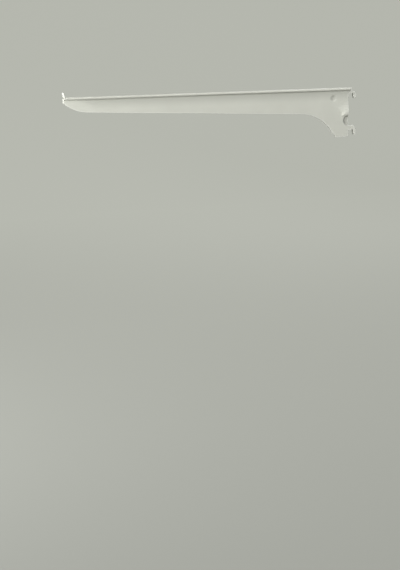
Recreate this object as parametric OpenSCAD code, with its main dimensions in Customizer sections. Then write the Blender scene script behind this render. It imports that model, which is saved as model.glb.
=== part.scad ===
// Shelf bracket, one folded steel sheet: a flat hemmed rail on top, two side walls
// lying close together below it, a stop lip at the tip and hooks at the rear.
// X runs out from the mounting face, Y across, Z up.
// The origin is on the mounting face, mid-width, level with the top of the rail.

/* [Sheet] */
// thickness of the steel sheet
sheet_t = 1.5; // [1.2:0.1:1.8]
// inside radius of the sharp folds
fold_r = 0.5; // [0.3:0.1:0.8]
// slit left inside the flattened hem
hem_slit = 0.2; // [0.1:0.05:0.4]

/* [Rail] */
// distance from the mounting face to the tip
reach = 400; // [150:50:400]
// width of the shelf rail
rail_w = 11.5; // [10.5:0.5:13]
// space between the mounting face and the end of the rail
rail_gap = 1.6; // [0.8:0.2:3]

/* [Stop lip] */
// height of the lip above the rail
lip_h = 6.2; // [4:0.1:9]
// lean of the lip beyond vertical, in degrees
lip_lean = 14; // [4:1:30]
// inside radius of the lip's fold
lip_r = 0.6; // [0.4:0.1:2]
// width of the lip at its foot
lip_foot_w = 10.7; // [10:0.1:11]
// width of the lip at its top edge
lip_top_w = 8.5; // [7:0.5:10]
// rounding of the lip's two top corners
lip_corner_r = 2; // [1:0.25:3]

/* [Side walls] */
// clear space between the two side walls
wall_gap = 2.5; // [2:0.25:3.5]
// depth of the walls below the rail top, lower edge carried on to the mounting face
root_depth = 36.6; // [32:0.1:40]
// depth of the walls below the rail top, lower edge carried on to the tip
tip_depth = 18.7; // [16:0.1:22]
// how far the walls' front edge stands back from the lip's tip
front_set = 0.8; // [0:0.1:1.5]
// length of the straight front edge, measured down from the rail top
front_h = 7.3; // [6:0.1:9]
// slope of the nose below the front edge, in degrees
nose_angle = 37.5; // [30:0.5:42]
// rounding between the nose and the lower edge
nose_r = 50; // [30:1:55]
// rounding at the foot of the front edge
front_r = 2; // [0.5:0.25:3]

/* [Heel] */
// depth of the heel below the rail top
heel_depth = 66.6; // [64:0.1:72]
// distance from the mounting face to the heel's front corner
heel_reach = 23.6; // [20:0.1:28]
// slope of the heel's front edge, in degrees
heel_angle = 54; // [50:1:60]
// rounding of the throat between the heel and the lower edge
throat_r = 55; // [30:1:56]
// space between the mounting face and the rear edge of the walls
rear_gap = 5.1; // [4:0.1:6]
// rounding of the heel's two corners
heel_r = 0.8; // [0.4:0.1:1.5]

/* [Hooks] */
// distance between the upper and the lower hook
hook_pitch = 50; // [50:0.5:50]
// depth of the upper hook's seat below the rail top
seat_depth = 7.2; // [6.8:0.1:8]
// height of the lower hook's neck above its seat
neck_h = 6; // [5:0.25:6.25]
// thickness that the hooks clasp behind the mounting face
clasp_t = 2; // [1.5:0.1:2.5]
// play left in that clasp
hook_play = 0.4; // [0.2:0.05:0.6]
// thickness of the tooth
tooth_t = 3.6; // [3:0.1:5]
// drop of the tooth below its seat
tooth_drop = 7; // [5:0.5:8]
// slant of the tooth's inner edge towards its point
tooth_slant = 1.2; // [0.5:0.1:2]
// height of the small shoulder that bears on the mounting face
shoulder_h = 0.6; // [0.4:0.1:1.5]
// rounding at the top of the lower neck
neck_r = 1.8; // [0.5:0.1:2.5]

/* [Pressings] */
// distance from the mounting face to the joining dimple
dimple_x = 27; // [24:0.5:32]
// depth of the joining dimple below the rail top
dimple_z = 13.4; // [12.5:0.1:18]
// radius of the joining dimple at its rim
dimple_rim_r = 4.25; // [3.5:0.25:4.75]
// radius of the joining dimple at its floor
dimple_floor_r = 2.8; // [2.2:0.1:3.2]
// depth of the centring bulge below the rail top
bulge_z = 35.5; // [34:0.5:36]
// radius of the centring bulge at its foot
bulge_r = 10; // [8:0.5:11]
// height of the centring bulge
bulge_h = 3; // [2:0.25:3.25]
// depth of the pinch, where the walls meet under the bulge, below the rail top
pinch_z = 44.3; // [43.5:0.1:44.6]
// radius of the pinch at its rim
pinch_rim_r = 6.6; // [6:0.1:6.6]
// radius of the pinch at its floor
pinch_floor_r = 5; // [4:0.25:5.25]
// how much wider the pinch is at the bulge's crest than at its rim
pinch_flare = 1.6; // [1.2:0.1:1.6]

/* [Screw holes] */
// radius of the screw holes in the rail
hole_r = 2.75; // [2:0.25:2.75]
// radius of the bevelled rim at the top
sink_r = 3.25; // [3:0.25:3.75]
// depth of the bevelled rim
sink_h = 0.5; // [0.3:0.1:0.8]
// distance from the mounting face to the first hole
hole_rear = 30; // [26:0.5:36]
// distance from the tip to the last hole
hole_front = 33; // [28:0.5:40]
// least reach that is given a third hole, at mid-length
hole_mid_from = 250; // [200:50:300]

/* [Hidden] */
$fn = 96;

// small overlap that makes cuts run clean through
cut = 1;
// powder coat, pale warm grey
coat = [0.87, 0.87, 0.85];

wall_in = wall_gap / 2;
wall_out = wall_in + sheet_t;
rail_h = 2 * sheet_t + hem_slit;
hem_r = rail_h / 2;
// the lip's fold starts here, so that the lip's front corner ends at the reach
lip_fold = 90 - lip_lean;
lip_len = (lip_h - lip_r * (1 - cos(lip_fold))) / sin(lip_fold);
lip_start = reach - (lip_r + sheet_t) * sin(lip_fold) - lip_len * cos(lip_fold);
tooth_x = -clasp_t - hook_play;
fold_z = -rail_h - fold_r;
low_seat = seat_depth + hook_pitch;
hole_xs = reach < hole_mid_from
    ? [hole_rear, reach - hole_front]
    : [hole_rear, (hole_rear + reach - hole_front) / 2, reach - hole_front];

// lower edge of the walls: a straight line from root_depth to tip_depth
edge_slope = (root_depth - tip_depth) / reach;
// where the nose line and the heel line meet that lower edge
front_x = reach - front_set;
nose_x = front_x - (tip_depth + edge_slope * front_set - front_h) / (tan(nose_angle) - edge_slope);
nose_z = -root_depth + edge_slope * nose_x;
heel_x = (heel_depth - root_depth + tan(heel_angle) * heel_reach) / (tan(heel_angle) - edge_slope);
heel_z = -root_depth + edge_slope * heel_x;

function unit(v) = v / norm(v);

// points of the arc of radius r that rounds corner b between its neighbours a and c
function corner_arc(a, b, c, r, steps) =
    let (u = unit(a - b), w = unit(c - b))
    let (half = acos(u * w) / 2)
    let (centre = b + unit(u + w) * r / sin(half))
    let (from = b + u * r / tan(half) - centre, turn = 180 - 2 * half)
    let (side = cross(u, w) > 0 ? 1 : -1)
    [for (i = [0 : steps])
        let (g = side * turn * i / steps)
        centre + [from[0] * cos(g) + from[1] * sin(g), from[1] * cos(g) - from[0] * sin(g)]];

// the walls' outline seen from the side, without the hooks
module wall_outline() {
    corners = [[rear_gap, fold_z], [front_x, fold_z], [front_x, -front_h], [nose_x, nose_z],
        [heel_x, heel_z], [heel_reach, -heel_depth], [rear_gap, -heel_depth]];
    polygon(concat(
        [corners[0], corners[1]],
        corner_arc(corners[1], corners[2], corners[3], front_r, 8),
        corner_arc(corners[2], corners[3], corners[4], nose_r, 16),
        corner_arc(corners[3], corners[4], corners[5], throat_r, 24),
        corner_arc(corners[4], corners[5], corners[6], heel_r, 6),
        corner_arc(corners[5], corners[6], corners[0], heel_r, 6)));
}

// one hook seen from the side, its neck running back from the walls
module hook_outline(seat, top) {
    polygon([[rear_gap + cut, top], [tooth_x, top], [tooth_x - tooth_t, top - tooth_t],
        [tooth_x - tooth_t, -seat - tooth_drop + tooth_slant],
        [tooth_x - tooth_t + tooth_slant, -seat - tooth_drop],
        [tooth_x - tooth_slant, -seat - tooth_drop],
        [tooth_x, -seat - tooth_drop / 2], [tooth_x, -seat], [0, -seat],
        [0, -seat - shoulder_h], [rear_gap + cut, -seat - shoulder_h]]);
}

// rounded inside corner where the lower neck leaves the rear edge
module neck_corner() {
    translate([rear_gap - neck_r, neck_h - low_seat])
        difference() {
            square(neck_r + cut);
            translate([0, neck_r])
                circle(neck_r);
            translate([-cut, neck_r])
                square(neck_r + 3 * cut);
        }
}

// quarter of a ring of sheet, the inner radius r, filling the first quadrant
module fold_ring(r) {
    intersection() {
        difference() {
            circle(r + sheet_t);
            circle(r);
        }
        square(r + sheet_t + cut);
    }
}

// right half of the folded section: hem, return layer, fold and wall
module half_section() {
    flat = rail_w / 2 - hem_r;
    translate([flat, -hem_r])
        difference() {
            circle(hem_r);
            circle(hem_slit / 2);
            translate([-hem_r - cut, -hem_r - cut])
                square([hem_r + cut, rail_h + 2 * cut]);
        }
    translate([wall_out + fold_r, -rail_h])
        square([flat - wall_out - fold_r, sheet_t]);
    translate([wall_out + fold_r, fold_z])
        mirror([1, 0])
            fold_ring(fold_r);
    translate([wall_in, -heel_depth - cut])
        square([sheet_t, heel_depth + cut + fold_z]);
}

// the whole folded section, drawn across the width
module section() {
    translate([hem_r - rail_w / 2, -sheet_t])
        square([rail_w - rail_h, sheet_t]);
    half_section();
    mirror([1, 0])
        half_section();
}

// turns a drawing of the section to run along the bracket between two distances
module along(x0, x1) {
    translate([x0, 0, 0])
        rotate([90, 0, 90])
            linear_extrude(x1 - x0)
                children();
}

// turns a side view into a plate lying between two distances across the width
module across(y0, y1) {
    translate([0, y1, 0])
        rotate([90, 0, 0])
            linear_extrude(y1 - y0)
                children();
}

// rail and walls in one: the folded section trimmed to the side outline, where only
// its lower layers run on under the lip to the tip
module folded_body() {
    intersection() {
        along(rail_gap, reach)
            section();
        across(-rail_w, rail_w)
            union() {
                translate([rail_gap, fold_z])
                    square([lip_start - rail_gap, -fold_z]);
                translate([rail_gap, fold_z])
                    square([front_x - rail_gap, -hem_r - fold_z]);
                wall_outline();
            }
    }
}

// the stop lip: the rail's top layer turned up, with rounded top corners
module lip() {
    turn = [for (i = [0 : 12]) lip_fold * i / 12];
    back = [for (g = turn) [lip_start + lip_r * sin(g), lip_r - lip_r * cos(g)]];
    face = [for (g = turn) [lip_start + (lip_r + sheet_t) * sin(g), lip_r - (lip_r + sheet_t) * cos(g)]];
    rise = lip_len * [cos(lip_fold), sin(lip_fold)];
    n = len(turn) - 1;
    intersection() {
        across(-rail_w / 2, rail_w / 2)
            polygon(concat(
                face, [face[n] + rise, back[n] + rise], [for (i = [n : -1 : 0]) back[i]]));
        along(lip_start - cut, reach + cut)
            lip_front();
    }
}

// the lip's outline seen from the tip: straight foot, tapering sides, round corners
module lip_front() {
    foot = lip_foot_w / 2;
    head = lip_top_w / 2;
    left = corner_arc([-foot, 0], [-head, lip_h], [head, lip_h], lip_corner_r, 8);
    right = corner_arc([-head, lip_h], [head, lip_h], [foot, 0], lip_corner_r, 8);
    polygon(concat([[foot, -rail_h], [-foot, -rail_h], [-foot, 0]], left, right, [[foot, 0]]));
}

// both hooks of both walls
module hooks() {
    for (side = [-1, 1])
        across(side * (wall_in + sheet_t / 2) - sheet_t / 2, side * (wall_in + sheet_t / 2) + sheet_t / 2)
            union() {
                hook_outline(seat_depth, fold_z);
                hook_outline(low_seat, neck_h - low_seat);
                neck_corner();
            }
}

// metal behind the two bowls of one wall, down to the middle of the bracket
module pressed_bosses() {
    translate([dimple_x, -cut / 4, -dimple_z])
        rotate([-90, 0, 0])
            cylinder(wall_in + cut / 2, dimple_floor_r + sheet_t / 2, dimple_rim_r + sheet_t / 2);
    intersection() {
        translate([rear_gap, -cut / 4, -pinch_z])
            rotate([-90, 0, 0])
                pinch_cone(wall_in + cut / 4, sheet_t / 2);
        union() {
            bulge_ball(0);
            rear_block(wall_out);
        }
        rear_block(wall_out + bulge_h);
    }
}

// the two bowls pressed into one wall from outside
module pressed_bowls() {
    flare = (dimple_rim_r - dimple_floor_r) / wall_in;
    translate([dimple_x, sheet_t, -dimple_z])
        rotate([-90, 0, 0])
            cylinder(wall_in + cut, dimple_floor_r, dimple_rim_r + flare * cut);
    intersection() {
        translate([rear_gap, sheet_t, -pinch_z])
            rotate([-90, 0, 0])
                pinch_cone(wall_in, 0);
        rear_block(wall_out + bulge_h + cut);
    }
}

// form of the pinch: a shallow cone from floor to rim, then a steep one past the crest
module pinch_cone(rim, wider) {
    crest = bulge_h + sheet_t + cut;
    cylinder(rim, pinch_floor_r + wider, pinch_rim_r + wider);
    translate([0, 0, rim])
        cylinder(crest, pinch_rim_r + wider, pinch_rim_r + 2 * wider + pinch_flare);
}

// the half dome of one wall, from the middle of its sheet outwards
module bulge() {
    intersection() {
        bulge_ball(0);
        translate([rear_gap, wall_in + sheet_t / 2, -bulge_z - 2 * bulge_r])
            cube([2 * bulge_r, 2 * bulge_h + sheet_t, 4 * bulge_r]);
    }
}

// the hollow inside that half dome, open to the rear
module bulge_hollow() {
    intersection() {
        bulge_ball(sheet_t);
        translate([rear_gap - cut, 0, -bulge_z - 2 * bulge_r])
            cube([2 * bulge_r, wall_out + bulge_h, 4 * bulge_r]);
    }
}

// block before the rear edge, reaching from the middle of the bracket out to y
module rear_block(y) {
    translate([rear_gap, -cut / 4, -heel_depth + heel_r])
        cube([heel_reach - rear_gap, y + cut / 4, heel_depth - heel_r + fold_z]);
}

// ball whose cap stands bulge_h proud of the wall; inset gives the hollow inside
module bulge_ball(inset) {
    ball_r = (bulge_r * bulge_r + bulge_h * bulge_h) / (2 * bulge_h);
    translate([rear_gap, wall_out + bulge_h - ball_r, -bulge_z])
        sphere(ball_r - inset);
}

// one screw hole with its bevelled rim, cut down through both layers of the rail
module screw_hole(x) {
    translate([x, 0, fold_z])
        cylinder(cut - fold_z, hole_r, hole_r);
    translate([x, 0, -sink_h])
        cylinder(2 * sink_h, hole_r, 2 * sink_r - hole_r);
}

// rail, walls, lip and hooks, with the half domes swelled out hollow
module swelled_body() {
    difference() {
        union() {
            folded_body();
            lip();
            hooks();
            both_walls()
                bulge();
        }
        both_walls()
            bulge_hollow();
    }
}

// puts one wall's feature on the other wall too
module both_walls() {
    for (side = [0, 1])
        mirror([0, side, 0])
            children();
}

module bracket() {
    color(coat)
        difference() {
            union() {
                swelled_body();
                both_walls()
                    pressed_bosses();
            }
            both_walls()
                pressed_bowls();
            for (x = hole_xs)
                screw_hole(x);
        }
}

bracket();
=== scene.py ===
import math

import bpy
import numpy as np
from mathutils import Matrix
from mathutils.geometry import delaunay_2d_cdt


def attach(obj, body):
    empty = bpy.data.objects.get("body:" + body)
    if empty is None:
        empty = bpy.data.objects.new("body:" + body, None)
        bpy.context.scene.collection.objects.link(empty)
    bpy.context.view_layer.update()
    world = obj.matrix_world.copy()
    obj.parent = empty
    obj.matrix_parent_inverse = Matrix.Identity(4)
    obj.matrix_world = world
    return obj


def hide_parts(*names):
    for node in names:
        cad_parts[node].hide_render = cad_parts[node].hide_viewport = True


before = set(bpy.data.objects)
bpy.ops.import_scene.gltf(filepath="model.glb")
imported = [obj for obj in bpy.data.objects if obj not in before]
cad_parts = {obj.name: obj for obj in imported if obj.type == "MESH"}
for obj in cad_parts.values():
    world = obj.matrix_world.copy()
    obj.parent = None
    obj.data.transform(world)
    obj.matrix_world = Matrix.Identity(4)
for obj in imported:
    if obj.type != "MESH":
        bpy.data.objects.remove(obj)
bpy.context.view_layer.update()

# The flat blank
# The bracket starts as one piece of steel sheet 1.5 mm thick, punched to outline with
# its screw holes. Here it lies flat: x runs along the rail, s across the sheet from its
# middle line, both in millimetres, and one half is drawn and mirrored for the other.
sheet_t = 1.5
reach = 400.0
rail_w = 11.5
rail_gap = 1.6
hem_slit = 0.2
rail_h = 2 * sheet_t + hem_slit
fold_r = 0.5
fold_z = -rail_h - fold_r
wall_gap = 2.5
wall_mid = (wall_gap + sheet_t) / 2

# where each bend starts and ends along s, measured on the middle layer of the sheet
flat_s = (rail_w - rail_h) / 2
hem_mid = (rail_h - sheet_t) / 2
fold_mid = fold_r + sheet_t / 2
fold_y = wall_mid + fold_mid
s_return = flat_s + math.pi * hem_mid
s_fold = s_return + flat_s - fold_y
s_wall = s_fold + math.pi / 2 * fold_mid

lip_h = 6.2
lip_turn = math.radians(76.0)
lip_r = 0.6
lip_mid = lip_r + sheet_t / 2
lip_bend = lip_mid * lip_turn
lip_flat = (lip_h - lip_r * (1 - math.cos(lip_turn))) / math.sin(lip_turn)
lip_start = reach - (lip_r + sheet_t) * math.sin(lip_turn) - lip_flat * math.cos(lip_turn)
lip_end = lip_start + lip_bend + lip_flat
lip_cut = 0.2
lip_foot = 5.35
lip_head = 4.25
ear_r = 2.0

rear_gap = 5.1
heel_reach = 23.6
heel_depth = 66.6
heel_slope = math.tan(math.radians(54.0))
heel_r = 0.8
throat_r = 55.0
root_depth = 36.6
tip_depth = 18.7
arm_slope = (root_depth - tip_depth) / reach
nose_slope = math.tan(math.radians(37.5))
nose_r = 50.0
front_set = 0.8
front_x = reach - front_set
front_h = 7.3
front_r = 2.0

seat_depth = 7.2
hook_pitch = 50.0
hook_seats = (seat_depth, seat_depth + hook_pitch)
hook_tops = (-fold_z, 51.2)
tooth_x = -2.4
tooth_t = 3.6
tooth_drop = 7.0
tooth_slant = 1.2
shoulder_h = 0.6
neck_r = 1.8

hole_xs = (30.0, 198.5, 367.0)
hole_r = 2.75
hole_sides = 48
sink_h = 0.5
edge_r = 0.3
bore_edge_r = 0.2


def rounded(before, corner, after, radius, steps):
    """Points of the arc that rounds a corner: its centre lies on the bisector at
    radius / sin(half angle), and it turns from one leg's foot to the other's."""
    before, corner, after = map(np.array, (before, corner, after))
    back = (before - corner) / np.linalg.norm(before - corner)
    on = (after - corner) / np.linalg.norm(after - corner)
    half = math.acos(back @ on) / 2
    centre = corner + (back + on) / np.linalg.norm(back + on) * radius / math.sin(half)
    start = corner + back * radius / math.tan(half) - centre
    side = math.copysign(1.0, back[0] * on[1] - back[1] * on[0])
    angle = side * np.linspace(0, math.pi - 2 * half, steps + 1)
    return centre + np.stack([start[0] * np.cos(angle) + start[1] * np.sin(angle),
                              start[1] * np.cos(angle) - start[0] * np.sin(angle)], 1)


def hook_points(seat, top):
    """The corners of one hook in side view, as x and depth below the rail's top,
    from the top of its neck round the tooth to the shoulder."""
    point = seat + tooth_drop
    return np.array([
        [tooth_x, top], [tooth_x - tooth_t, top + tooth_t],
        [tooth_x - tooth_t, point - tooth_slant], [tooth_x - tooth_t + tooth_slant, point],
        [tooth_x - tooth_slant, point], [tooth_x, point - tooth_drop / 2],
        [tooth_x, seat], [0.0, seat], [0.0, seat + shoulder_h], [rear_gap, seat + shoulder_h]])


def to_sheet(side_view):
    """Side view to flat sheet: a depth below the fold becomes a distance past s_wall."""
    return side_view + [0.0, s_wall + fold_z]


def on_arm(x):
    """The point of the arm's straight lower edge at x: root depth less slope times x."""
    return [x, root_depth - arm_slope * x]


nose_x = front_x - (root_depth - arm_slope * front_x - front_h) / (nose_slope - arm_slope)
heel_x = (heel_depth - root_depth + heel_slope * heel_reach) / (heel_slope - arm_slope)
wall_corners = [[rear_gap, hook_seats[1]], [rear_gap, heel_depth], [heel_reach, heel_depth],
                on_arm(heel_x), on_arm(nose_x), [front_x, front_h], [front_x, -fold_z]]
corner_arcs = ((heel_r, 6), (heel_r, 6), (throat_r, 24), (nose_r, 16), (front_r, 8))
wall_arcs = [to_sheet(rounded(*wall_corners[i:i + 3], radius, steps))
             for i, (radius, steps) in enumerate(corner_arcs)]
neck_turn = np.radians(np.linspace(0, 90, 9))
neck_arc = np.array([rear_gap - neck_r, hook_tops[1] - neck_r]) + neck_r * np.stack(
    [np.cos(neck_turn), np.sin(neck_turn)], 1)

flat_rows = np.array([0.0, 1.9, 3.4])
hem_rows = np.linspace(flat_s, s_return, 17)
fold_rows = np.linspace(s_fold, s_wall, 10)
bend_rows = np.concatenate([hem_rows, fold_rows])
ear_top = [lip_end, lip_head]
ear_foot = [lip_start + sheet_t / 2, lip_foot]

# at the tip the lower layers run on under the lip, cut free of it along the hem's crown
crown = lip_foot + lip_cut
crown_gap = 0.05
over_rows = np.append(crown, hem_rows[hem_rows < crown - crown_gap][::-1])
under_rows = np.append(bend_rows[bend_rows > crown + crown_gap][::-1], crown)


def across_at(x, rows):
    """Points in a straight line across the sheet at x, one on each row."""
    return np.stack([np.full(len(rows), x), rows], 1)


half_outline = np.concatenate([
    across_at(rail_gap, flat_rows),
    across_at(rail_gap, bend_rows),
    to_sheet(hook_points(hook_seats[0], hook_tops[0])),
    to_sheet(neck_arc),
    to_sheet(hook_points(hook_seats[1], hook_tops[1])),
    *wall_arcs,
    across_at(front_x, under_rows),
    across_at(lip_start, over_rows),
    [[lip_start + lip_cut, flat_s], [lip_start + lip_cut, lip_foot], ear_foot],
    rounded(ear_foot, ear_top, [lip_end, 0.0], ear_r, 10),
    [[lip_end, 0.0]]])


def spread(points, gap):
    """A closed outline with points added on its long sides: a side of length L gets
    the whole number of equal steps that are no longer than the gap."""
    ends = np.roll(points, -1, 0)
    lengths = np.linalg.norm(ends - points, axis=1)
    steps = np.maximum(1, np.ceil(lengths / gap - 1e-6)).astype(int)
    side = np.repeat(np.arange(len(points)), steps)
    part = (np.arange(len(side)) - np.repeat(np.cumsum(steps) - steps, steps)) / steps[side]
    return points[side] + (ends - points)[side] * part[:, None]


def inset(points, depth):
    """A closed outline moved inwards: each corner goes along the sum of the inward
    normals of its two sides, so that both sides end up the same depth further in."""
    along = np.roll(points, -1, 0) - points
    along /= np.linalg.norm(along, axis=1)[:, None]
    inward = np.stack([-along[:, 1], along[:, 0]], 1)
    both = inward + np.roll(inward, 1, 0)
    return points + depth * both * 2 / (both ** 2).sum(1)[:, None]


def edge_distance(points, outline):
    """Shortest distance from each point to an outline's sides, and whether the point
    lies inside: a line from it crosses the outline an odd number of times."""
    a, b = outline, np.roll(outline, -1, 0)
    best = np.empty(len(points))
    inside = np.empty(len(points), bool)
    points_at_once = 2000
    for part in np.array_split(np.arange(len(points)), 1 + len(points) // points_at_once):
        p = points[part][:, None, :]
        t = np.clip(((p - a) * (b - a)).sum(2) / ((b - a) ** 2).sum(1), 0, 1)
        best[part] = np.linalg.norm(p - a - t[..., None] * (b - a), axis=2).min(1)
        over = (a[:, 1] > p[..., 1]) != (b[:, 1] > p[..., 1])
        rise = np.where(b[:, 1] == a[:, 1], 1.0, b[:, 1] - a[:, 1])
        cross = a[:, 0] + (p[..., 1] - a[:, 1]) / rise * (b[:, 0] - a[:, 0])
        inside[part] = (over & (p[..., 0] < cross)).sum(1) % 2 == 1
    return best, inside


def signed_area(points):
    """Area of a closed outline, half the sum of its sides' cross products: above 0
    where it runs anticlockwise."""
    ends = np.roll(points, -1, 0)
    return 0.5 * np.sum(points[:, 0] * ends[:, 1] - ends[:, 0] * points[:, 1])


row_step = 4.0
mirrored = half_outline[1:-1][::-1] * [1, -1]
outline = spread(np.concatenate([half_outline, mirrored]), row_step)
if signed_area(outline) < 0:
    outline = outline[::-1]

hole_turn = np.linspace(0, -2 * math.pi, hole_sides, endpoint=False)
hole_loops = [np.array([x, 0.0]) + hole_r * np.stack([np.cos(hole_turn), np.sin(hole_turn)], 1)
              for x in hole_xs]

# rows of points along the sheet: close together over the bends, wide on the flats
row_clearance = 1.2
hole_row_reach = 3.6
last_flat_row = 3.85
first_wall_row, second_wall_row = s_wall + 0.3, s_wall + 1.5
wall_row_step = 3.5
wall_rows = np.arange(s_wall + 4.0, s_wall + 63.0, wall_row_step)
bend_x = np.linspace(0, lip_bend, 9) + lip_start
hole_x = np.linspace(-hole_row_reach, hole_row_reach, 19)
hole_x = (np.array(hole_xs)[:, None] + hole_x).ravel()
close_x = np.concatenate([hole_x, bend_x])
grid_x = np.arange(-row_step, reach + 1, row_step)
grid_x = grid_x[np.abs(grid_x[:, None] - close_x).min(1) > row_clearance]
grid_x = np.sort(np.concatenate([grid_x, close_x]))
grid_s = np.concatenate([flat_rows, [last_flat_row], bend_rows,
                         [first_wall_row, second_wall_row], wall_rows])
grid_s = np.concatenate([-grid_s[:0:-1], grid_s])

# finer points where the walls are pressed: rings round the dimple, and a fine lattice
# over the swelling and the pinch
dimple_x, dimple_depth = 27.0, 13.4
dimple = to_sheet(np.array([dimple_x, dimple_depth]))
dimple_rings = np.array([0.01, 0.7, 1.4, 2.0, *np.arange(2.4, 4.9, 0.3), 5.3])
fine_centre = to_sheet(np.array([rear_gap, 37.0]))
fine_reach = 18.0
fine_step = 0.5
fine_clearance = 0.6


def ring_points(centre, radii, count):
    """Points on circles round a centre, the same number on each."""
    angle = np.linspace(0, 2 * math.pi, count, endpoint=False)
    circle = np.stack([np.cos(angle), np.sin(angle)], 1)
    return centre + (radii[:, None, None] * circle).reshape(-1, 2)


# rings inside each cut edge, for its rounded burr and for the bevel of the holes
edge_steps = edge_r * (1 - np.cos(np.radians([0, 30, 60, 90])))
last_ring = 0.15
edge_rings = np.append(edge_steps, edge_r + last_ring)
hole_rings = np.array([0.0, 0.12, 0.3, sink_h, sink_h + last_ring])
ring_clearance = 0.2
loops = [inset(outline, d) for d in edge_rings]
loops += [inset(loop, d) for loop in hole_loops for d in hole_rings]

lattice = np.stack(np.meshgrid(grid_x, grid_s, indexing="ij"), 2)
flat_points = lattice.reshape(-1, 2)
far, within = edge_distance(flat_points, outline)
keep = within & (far > edge_rings[-1] + ring_clearance)
for x in hole_xs:
    from_hole = np.hypot(flat_points[:, 0] - x, flat_points[:, 1])
    keep &= from_hole > hole_r + hole_rings[-1] + ring_clearance
for side in (1, -1):
    for centre, pressed_r in ((dimple, dimple_rings[-1]), (fine_centre, fine_reach)):
        from_centre = np.linalg.norm(flat_points - centre * [1, side], axis=1)
        keep &= from_centre > pressed_r + fine_clearance
fine = np.arange(-fine_reach, fine_reach, fine_step)
fine = fine_centre + np.stack(np.meshgrid(fine, fine), 2).reshape(-1, 2)
fine = fine[np.linalg.norm(fine - fine_centre, axis=1) < fine_reach]
pressed = np.concatenate([ring_points(dimple, dimple_rings, 36), fine])
far, within = edge_distance(pressed, outline)
pressed = pressed[within & (far > edge_rings[-1] + last_ring)]
pressed = np.concatenate([pressed, pressed * [1, -1]])

# constraint edges: every outline ring, and the rows that lie on the bends
count = 0
edges = []
for loop in loops:
    i = np.arange(len(loop))
    edges.append(np.stack([i, np.roll(i, -1)], 1) + count)
    count += len(loop)
number = np.full(len(flat_points), -1)
number[keep] = np.arange(keep.sum()) + count
number = number.reshape(lattice.shape[:2])
fixed_rows = np.round(np.append(bend_rows, [last_flat_row, first_wall_row]), 6)
on_bend = np.isin(np.round(np.abs(grid_s), 6), fixed_rows)
pairs = np.stack([number[:-1, on_bend], number[1:, on_bend]], 2).reshape(-1, 2)
pairs = pairs[(pairs >= 0).all(1)]
sheet_points = np.concatenate(loops + [flat_points[keep], pressed])
far, within = edge_distance(sheet_points[pairs].mean(1), outline)
edges.append(pairs[within & (far > edge_rings[-1])])
cut = delaunay_2d_cdt(sheet_points.tolist(), np.concatenate(edges).tolist(), [], 0, 1e-5)
blank = np.array(cut[0])
triangles = np.array(cut[2])

# triangles whose middle lies outside the outline, or within a hole's flat sides less a
# hair, fall out
middle = blank[triangles].mean(1)
on_sheet = edge_distance(middle, outline)[1]
hair_less = 0.995
hole_flat = hole_r * math.cos(math.pi / hole_sides) * hair_less
for x in hole_xs:
    on_sheet &= np.hypot(middle[:, 0] - x, middle[:, 1]) > hole_flat
triangles = triangles[on_sheet]

# Folding, pressing and turning up
# The blank's long edges are hemmed flat under the rail and folded down into two walls
# that lie close together; a round dimple joins the walls, half domes at the rear edge
# centre them, and the rail's top layer is turned up at the tip as a stop lip.
touch = sheet_t / 2 + 0.02
swell_h = 2.6
swell_top, swell_peak, swell_foot = 19.0, 35.8, 39.8
swell_reach = 8.4
flank_least, flank_most = 2.2, 9.2
flank_growth = 1.3
flank_depth = 35.0
dimple_share = 0.8
dimple_floor_r, dimple_r = 1.4, 5.2
pinch_depth = 44.3
pinch_floor_r, pinch_r = 5.4, 7.0


def smooth_step(value, low, high):
    """0 below low, 1 above high, and 3 t^2 - 2 t^3 of the way t between them."""
    t = np.clip((value - low) / (high - low), 0, 1)
    return t * t * (3 - 2 * t)


def from_dimple(x, depth):
    """Distance of a place on the wall from the dimple's centre."""
    return np.hypot(x - dimple_x, depth - dimple_depth)


def from_pinch(x, depth):
    """Distance of a place on the wall from the pinch's centre on the rear edge."""
    return np.hypot(x - rear_gap, depth - pinch_depth)


def pressing(x, depth):
    """How far the wall's middle layer lies off the mid plane. The swelling at the rear
    edge is its height times a smooth rise and fall with depth, times a smooth fall with
    the distance from that edge, over a flank that is wider higher up. The dimple, and
    the pinch below the swelling, mix the level so far with the level at which the two
    walls touch, by a smooth step of the distance from their centres."""
    rise = smooth_step(depth, swell_top, swell_peak)
    rise = rise * (1 - smooth_step(depth, swell_peak, swell_foot))
    flank = flank_least + flank_growth * (flank_depth - depth)
    flank = np.clip(flank, flank_least, flank_most)
    fall = smooth_step(x - rear_gap, swell_reach - flank, swell_reach + flank)
    level = wall_mid + swell_h * rise * (1 - fall)
    bowl = 1 - smooth_step(from_dimple(x, depth), dimple_floor_r, dimple_r)
    bowl = dimple_share * bowl
    level = level * (1 - bowl) + touch * bowl
    bowl = 1 - smooth_step(from_pinch(x, depth), pinch_floor_r, pinch_r)
    return level * (1 - bowl) + touch * bowl


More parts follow.
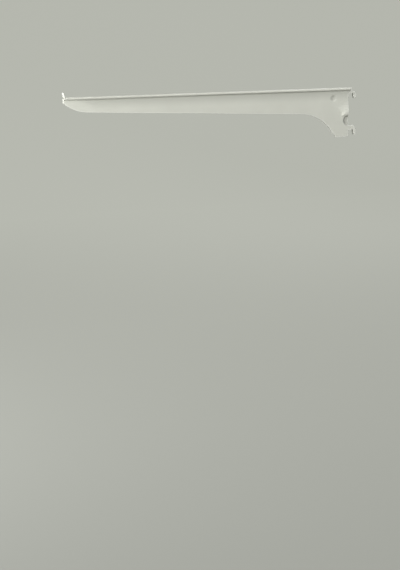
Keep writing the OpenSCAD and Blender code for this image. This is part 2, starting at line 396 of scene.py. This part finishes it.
def folded(x, s):
    """Middle layer and outward direction of the folded sheet at a place (x, s) of the
    blank: straight along the flats, and at angle (distance / radius) round each bend
    (hem, wall fold, lip); on the walls the direction leans with the pressing, by its
    slope between a short step to either side."""
    side, s = np.where(s < 0, -1.0, 1.0), np.abs(s)
    hem = np.clip((s - flat_s) / hem_mid, 0, math.pi)
    fold = np.clip((s - s_fold) / fold_mid, 0, math.pi / 2)
    back = np.clip(s - s_return, 0, s_fold - s_return)
    down = np.clip(s - s_wall, 0, None)
    lip = (x > lip_start + 1e-6) & (s < lip_foot + lip_cut / 2)
    past = np.where(lip, x - lip_start, 0.0)
    turn = np.clip(past / lip_mid, 0, lip_turn)
    rise = np.clip(past - lip_bend, 0, None)
    y = np.minimum(s, flat_s) + hem_mid * np.sin(hem) - back - fold_mid * np.sin(fold)
    z = -sheet_t / 2 - hem_mid * (1 - np.cos(hem)) - fold_mid * (1 - np.cos(fold)) - down
    ny = np.sin(hem) + np.sin(fold)
    nz = np.where(fold > 0, -np.cos(fold), np.cos(hem))
    nx = np.zeros_like(x)
    wall = down > 0
    step = 0.02
    slope_x = (pressing(x + step, -z) - pressing(x - step, -z)) / (2 * step)
    slope_z = (pressing(x, -z - step) - pressing(x, -z + step)) / (2 * step)
    y = np.where(wall, pressing(x, -z), y)
    nx = np.where(wall, -slope_x, nx)
    nz = np.where(wall, -slope_z, nz)
    y = np.where(lip, s, y)
    x = np.where(lip, lip_start + lip_mid * np.sin(turn) + rise * math.cos(lip_turn), x)
    lip_z = lip_mid * (1 - np.cos(turn)) - sheet_t / 2 + rise * math.sin(lip_turn)
    z = np.where(lip, lip_z, z)
    nx = np.where(lip, -np.sin(turn), nx)
    ny = np.where(lip, 0.0, ny)
    nz = np.where(lip, np.cos(turn), nz)
    normal = np.stack([nx, ny * side, nz], 1)
    return np.stack([x, y * side, z], 1), normal / np.linalg.norm(normal, axis=1)[:, None]


def half_thickness(depth, radius):
    """Half the sheet's thickness at a depth from a cut edge whose burr is rounded off:
    a quarter circle of the radius, then the full half thickness."""
    into = np.clip(radius - depth, 0, None)
    return sheet_t / 2 - radius + np.sqrt(radius ** 2 - into ** 2)


edge_depth, _ = edge_distance(blank, outline)
hole_depth = np.min([np.hypot(blank[:, 0] - x, blank[:, 1]) - hole_r for x in hole_xs], 0)
hole_depth = np.clip(hole_depth, 0, None)
mid, normal = folded(blank[:, 0], blank[:, 1])
burr = half_thickness(edge_depth, edge_r)
upper = np.minimum(burr, sheet_t / 2 - np.clip(sink_h - hole_depth, 0, None))
lower = np.minimum(burr, half_thickness(hole_depth, bore_edge_r))
outer = mid + normal * upper[:, None]
inner = mid - normal * lower[:, None]

# each screw hole is bored on through the return layers, as far as the wall's outside
left_outside = 0.05
for x in hole_xs:
    y = np.sqrt(np.clip(hole_r ** 2 - (inner[:, 0] - x) ** 2, 0, None))
    bored = (inner[:, 2] < -(sheet_t + hem_slit)) & (inner[:, 2] > fold_z)
    bored &= np.abs(inner[:, 1]) < y
    limit = np.minimum(y, np.abs(outer[:, 1]) - left_outside)
    inner[bored, 1] = (np.sign(inner[:, 1]) * limit)[bored]

# outer face, inner face, and a band between them along every cut edge
face_points = len(blank)
arrows = np.concatenate([triangles[:, [0, 1]], triangles[:, [1, 2]], triangles[:, [2, 0]]])
code = arrows[:, 0] * face_points + arrows[:, 1]
rim = arrows[~np.isin(code, arrows[:, 1] * face_points + arrows[:, 0])]
band = np.concatenate([rim + face_points, rim[:, ::-1]], 1)
band = np.concatenate([band[:, [0, 1, 2]], band[:, [0, 2, 3]]])
faces = np.concatenate([triangles, triangles[:, ::-1] + face_points, band])
used = np.unique(faces)
renumber = np.zeros(2 * face_points, int)
renumber[used] = np.arange(len(used))
verts = np.concatenate([outer, inner])[used] / 1000.0
mesh = bpy.data.meshes.new("folded_sheet")
mesh.from_pydata(verts.tolist(), [], renumber[faces].tolist())
mesh.shade_smooth()
bracket = bpy.data.objects.new("folded_sheet", mesh)
bpy.context.scene.collection.objects.link(bracket)

# The powder coat
# Baked polyester powder, off-white and half matt, sprayed all over after folding. It
# flows out to a faint orange peel. On top of its own colour, light is painted in: a
# painted highlight along the cut edges, and painted shade in the corner under the rail and in the
# hollows of the pressings.
coat_dark = (0.708, 0.719, 0.633)
coat_light = (0.743, 0.754, 0.667)
# painted highlight: the cut edges are coloured lighter, where light catches them
painted_edge_highlight = (0.87, 0.88, 0.80)
# painted shade: the walls are coloured darker just under the rail, where its overhang shades them
painted_corner_shade = (0.585, 0.595, 0.523)
# painted shade: the flanks and floors of the pinch and the dimple are coloured darker, where they
# lie in shade
painted_hollow_shade = (0.36, 0.365, 0.325)
edge_share = 0.9
cloud_low, cloud_high = 0.3, 0.7
least_rough, most_rough = 0.42, 0.52
peel_strength, peel_height = 0.35, 0.00006

# in millimetres: the bands' widths, how far behind the walls' front the painted shade in
# the corner starts and is whole, and the radii over which the painted shades in the hollows fade
edge_band = 1.6
corner_band = 15.0
tip_bare, tip_full = 4.0, 45.0
hollow_floor_r, hollow_r = 5.0, 8.8
hollow_floor_shade = 0.15
least_facing = 0.1
dimple_shade, dimple_shade_floor_r, dimple_shade_r = 0.22, 2.5, 5.5


def mark(name, values):
    """Hands the coat one number for each point of the blank: the same on the outer
    and the inner face."""
    both = np.concatenate([values, values])[used]
    mesh.attributes.new(name, "FLOAT", "POINT").data.foreach_set("value", both)


def hollow_shade(x, depth):
    """How much painted shade the pressings get, 0 to 1. Round the pinch it is 4 b (1 - b),
    most on the flank where the bowl b is half, times a share that grows with the square
    of the direction's x from a tenth to 1; a little of b is added on the floor, and the
    dimple adds a smooth step of the distance from its centre."""
    off_centre = from_pinch(x, depth)
    bowl = 1 - smooth_step(off_centre, hollow_floor_r, hollow_r)
    sideways = (x - rear_gap) / np.clip(off_centre, 1.0, None)
    facing = least_facing + (1 - least_facing) * sideways ** 2
    shade = 4 * bowl * (1 - bowl) * facing + hollow_floor_shade * bowl
    round_dimple = 1 - smooth_step(from_dimple(x, depth), dimple_shade_floor_r, dimple_shade_r)
    return np.clip(shade + dimple_shade * round_dimple, 0, 1)


# distance from the nearest cut edge, for the painted edge highlight; distance below the
# fold, for the painted shade under the rail, which counts as far all over the rail and grows
# towards the tip, where the corner lies open; and the painted shade in the hollows
from_middle = np.abs(blank[:, 1])
below_fold = np.where(from_middle > s_fold, from_middle - s_wall, 100.0)
open_tip = 1 - smooth_step(front_x - blank[:, 0], tip_bare, tip_full)
hollow = hollow_shade(mid[:, 0], -mid[:, 2])
mark("from_cut_edge", np.minimum(edge_depth, hole_depth))
mark("under_rail", below_fold + corner_band * open_tip)
mark("in_hollow", np.where(from_middle > s_wall, hollow, 0.0))


def noise(tree, scale, detail):
    """Noise over the object's own coordinates, with so many swings to the metre."""
    place = tree.nodes.new("ShaderNodeTexCoord")
    node = tree.nodes.new("ShaderNodeTexNoise")
    node.inputs["Scale"].default_value = scale
    node.inputs["Detail"].default_value = detail
    tree.links.new(place.outputs["Object"], node.inputs["Vector"])
    return node.outputs["Fac"]


def marked(tree, name):
    """The number that the mesh holds for each point under a name."""
    node = tree.nodes.new("ShaderNodeAttribute")
    node.attribute_name = name
    return node.outputs["Fac"]


def carried(tree, value, low, high, at_low, at_high, form="LINEAR"):
    """A value carried from low..high to at_low..at_high and held beyond both ends."""
    node = tree.nodes.new("ShaderNodeMapRange")
    node.interpolation_type = form
    node.inputs["From Min"].default_value = low
    node.inputs["From Max"].default_value = high
    node.inputs["To Min"].default_value = at_low
    node.inputs["To Max"].default_value = at_high
    tree.links.new(value, node.inputs["Value"])
    return node.outputs["Result"]


def blended(tree, share, first, second):
    """The first colour where the share is 0 and the second where it is 1; each is a
    colour or another node's output."""
    node = tree.nodes.new("ShaderNodeMix")
    node.data_type = "RGBA"
    tree.links.new(share, node.inputs["Factor"])
    for socket, colour in ((node.inputs["A"], first), (node.inputs["B"], second)):
        if isinstance(colour, tuple):
            socket.default_value = (*colour, 1)
        else:
            tree.links.new(colour, socket)
    return node.outputs["Result"]


coat = bpy.data.materials.new("powder_coat_off_white")
coat.use_nodes = True
tree = coat.node_tree
shader = tree.nodes["Principled BSDF"]
cloud = noise(tree, scale=35.0, detail=3.0)
lighter = carried(tree, cloud, cloud_low, cloud_high, 0.0, 1.0)
tint = blended(tree, lighter, coat_dark, coat_light)
# painted shade under the rail, darkest at the fold and gone at the corner band's depth
corner = carried(tree, marked(tree, "under_rail"), 0.0, corner_band, 1.0, 0.0, "SMOOTHSTEP")
tint = blended(tree, corner, tint, painted_corner_shade)
# painted shade in the hollows of the pressings
tint = blended(tree, marked(tree, "in_hollow"), tint, painted_hollow_shade)
# painted highlight along the cut edges and round the holes
edge = carried(tree, marked(tree, "from_cut_edge"), 0.0, edge_band, edge_share, 0.0)
tint = blended(tree, edge, tint, painted_edge_highlight)
tree.links.new(tint, shader.inputs["Base Color"])
rough = carried(tree, cloud, 0.0, 1.0, least_rough, most_rough)
tree.links.new(rough, shader.inputs["Roughness"])
relief = tree.nodes.new("ShaderNodeBump")
relief.inputs["Strength"].default_value = peel_strength
relief.inputs["Distance"].default_value = peel_height
tree.links.new(noise(tree, scale=900.0, detail=2.0), relief.inputs["Height"])
tree.links.new(relief.outputs["Normal"], shader.inputs["Normal"])
mesh.materials.append(coat)
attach(bracket, "root")
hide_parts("bracket")

# Floor and backdrop
# One pale, matt studio sweep of paper: a floor well below the bracket that curves up
# behind it. The eye sees it pale, and it throws only a little light back.
floor_z = -0.40
floor_front = 3.0
sweep_back = 1.6
sweep_r = 0.8
sweep_top = 3.0
sweep_sides = np.array([-4.0, 4.4])
paper_for_light = (0.22, 0.22, 0.21)
paper_seen = (0.617, 0.63, 0.583)
glow_near = (0.288, 0.295, 0.262)
glow_far = (0.556, 0.57, 0.507)
glow_share = 0.75
glow_from, glow_to = 0.8, -1.6
angle = np.linspace(0, math.pi / 2, 25)
curve = np.stack([-sweep_back - sweep_r * np.sin(angle),
                  floor_z + sweep_r * (1 - np.cos(angle))], 1)
profile = np.concatenate([[[floor_front, floor_z]], curve,
                          [[-sweep_back - sweep_r, sweep_top]]])
sweep_x = np.repeat(sweep_sides, len(profile))
grid = np.column_stack([sweep_x, np.tile(profile, (2, 1))])
i = np.arange(len(profile) - 1)
quads = np.stack([i, i + len(profile), i + len(profile) + 1, i + 1], 1)[:, ::-1]
sweep_mesh = bpy.data.meshes.new("studio_sweep")
sweep_mesh.from_pydata(grid.tolist(), [], quads.tolist())
sweep_mesh.shade_smooth()
sweep = bpy.data.objects.new("studio_sweep", sweep_mesh)
bpy.context.scene.collection.objects.link(sweep)


def reckoned(tree, operation, first, second):
    """A sum, product or the like of two values; each is a number or a node's output."""
    node = tree.nodes.new("ShaderNodeMath")
    node.operation = operation
    for socket, value in zip(node.inputs, (first, second)):
        if isinstance(value, float):
            socket.default_value = value
        else:
            tree.links.new(value, socket)
    return node.outputs[0]


paper = bpy.data.materials.new("pale_paper")
paper.use_nodes = True
tree = paper.node_tree
matt = tree.nodes["Principled BSDF"]
matt.inputs["Roughness"].default_value = 0.9
ray = tree.nodes.new("ShaderNodeLightPath").outputs
through = reckoned(tree, "MAXIMUM", ray["Is Glossy Ray"], ray["Is Transmission Ray"])
seen = reckoned(tree, "MAXIMUM", ray["Is Camera Ray"], through)
tree.links.new(blended(tree, seen, paper_for_light, paper_seen), matt.inputs["Base Color"])
where = tree.nodes.new("ShaderNodeTexCoord")
apart = tree.nodes.new("ShaderNodeSeparateXYZ")
tree.links.new(where.outputs["Object"], apart.inputs["Vector"])
far_back = carried(tree, apart.outputs["Y"], glow_from, glow_to, 0.0, 1.0)
glow = tree.nodes.new("ShaderNodeEmission")
tree.links.new(blended(tree, far_back, glow_near, glow_far), glow.inputs["Color"])
face = tree.nodes.new("ShaderNodeMixShader")
tree.links.new(reckoned(tree, "MULTIPLY", seen, glow_share), face.inputs["Fac"])
tree.links.new(matt.outputs["BSDF"], face.inputs[1])
tree.links.new(glow.outputs["Emission"], face.inputs[2])
tree.links.new(face.outputs["Shader"], tree.nodes["Material Output"].inputs["Surface"])
sweep_mesh.materials.append(paper)

# Light
# Soft daylight: an even pale surround, a wide lamp overhead, a strong one past the tip
# that grazes the walls and lights the lip, one in front of the hooks, a faint one close
# to the swelling, and one behind for the far wall.
surround_for_light = (0.21, 0.21, 0.21)
surround_seen = (0.50, 0.51, 0.47)
world = bpy.data.worlds.new("soft_surround")
world.use_nodes = True
tree = world.node_tree
sky = tree.nodes["Background"]
ray = tree.nodes.new("ShaderNodeLightPath").outputs
surround = blended(tree, ray["Is Camera Ray"], surround_for_light, surround_seen)
tree.links.new(surround, sky.inputs["Color"])
sky.inputs["Strength"].default_value = 1.0
bpy.context.scene.world = world


def stand(item, axes, place):
    """Links a lamp or camera into the scene at a place, with the directions of its
    right, top and back sides as the columns of axes."""
    item.matrix_world = Matrix(np.vstack([np.column_stack([axes, place]), [0, 0, 0, 1]]).tolist())
    bpy.context.scene.collection.objects.link(item)


def soft_lamp(name, place, target, size, watts):
    """A square lamp, in metres and watts, whose face looks from its place to its target."""
    lamp = bpy.data.lights.new(name, "AREA")
    lamp.size = size
    lamp.energy = watts
    holder = bpy.data.objects.new(name, lamp)
    holder.visible_camera = False
    look = np.array(place) - np.array(target)
    side = np.cross([0, 0, 1.0], look)
    axes = np.stack([side, np.cross(look, side), look], 1)
    stand(holder, axes / np.linalg.norm(axes, axis=0), place)


soft_lamp("overhead_lamp", (0.3, 0.5, 1.5), (0.3, 0.3, 0.0), 1.4, 4.4)
soft_lamp("tip_lamp", (1.1, 0.23, 0.07), (0.3, 0.0, 0.0), 0.45, 9.2)
soft_lamp("front_lamp", (-0.15, 1.05, 0.5), (0.0, 0.0, 0.0), 0.8, 5.3)
soft_lamp("rear_lamp", (-0.25, 0.3, 0.1), (0.0, 0.0, -0.02), 0.25, 0.16)
soft_lamp("back_lamp", (-0.6, -1.1, 0.8), (0.2, 0.0, 0.0), 0.8, 8.0)

# Camera
# It stands in front, beyond the tip and a little above the rail, and looks back and
# down at the bracket. It turns by yaw, then pitch, then roll.
camera_place = (0.6116, 1.4272, 0.0656)
yaw, pitch, roll = np.radians([15.26, 12.44, -1.29])
focal_in_pixels = 1100.0
picture_height_in_pixels = 570.0
sensor_mm = 36.0
ahead = np.array([-math.sin(yaw), -math.cos(yaw), 0.0])
across = np.array([-math.cos(yaw), math.sin(yaw), 0.0])
up = np.array([0, 0, 1.0])
aim = ahead * math.cos(pitch) - up * math.sin(pitch)
head = up * math.cos(pitch) + ahead * math.sin(pitch)
right = across * math.cos(roll) + head * math.sin(roll)
head = head * math.cos(roll) - across * math.sin(roll)
lens = bpy.data.cameras.new("photo_view")
lens.sensor_width = sensor_mm
lens.lens = focal_in_pixels * sensor_mm / picture_height_in_pixels
lens.clip_start = 0.01
camera = bpy.data.objects.new("photo_view", lens)
stand(camera, np.column_stack([right, head, -aim]), camera_place)
bpy.context.scene.camera = camera
bpy.context.scene.view_settings.view_transform = "Standard"
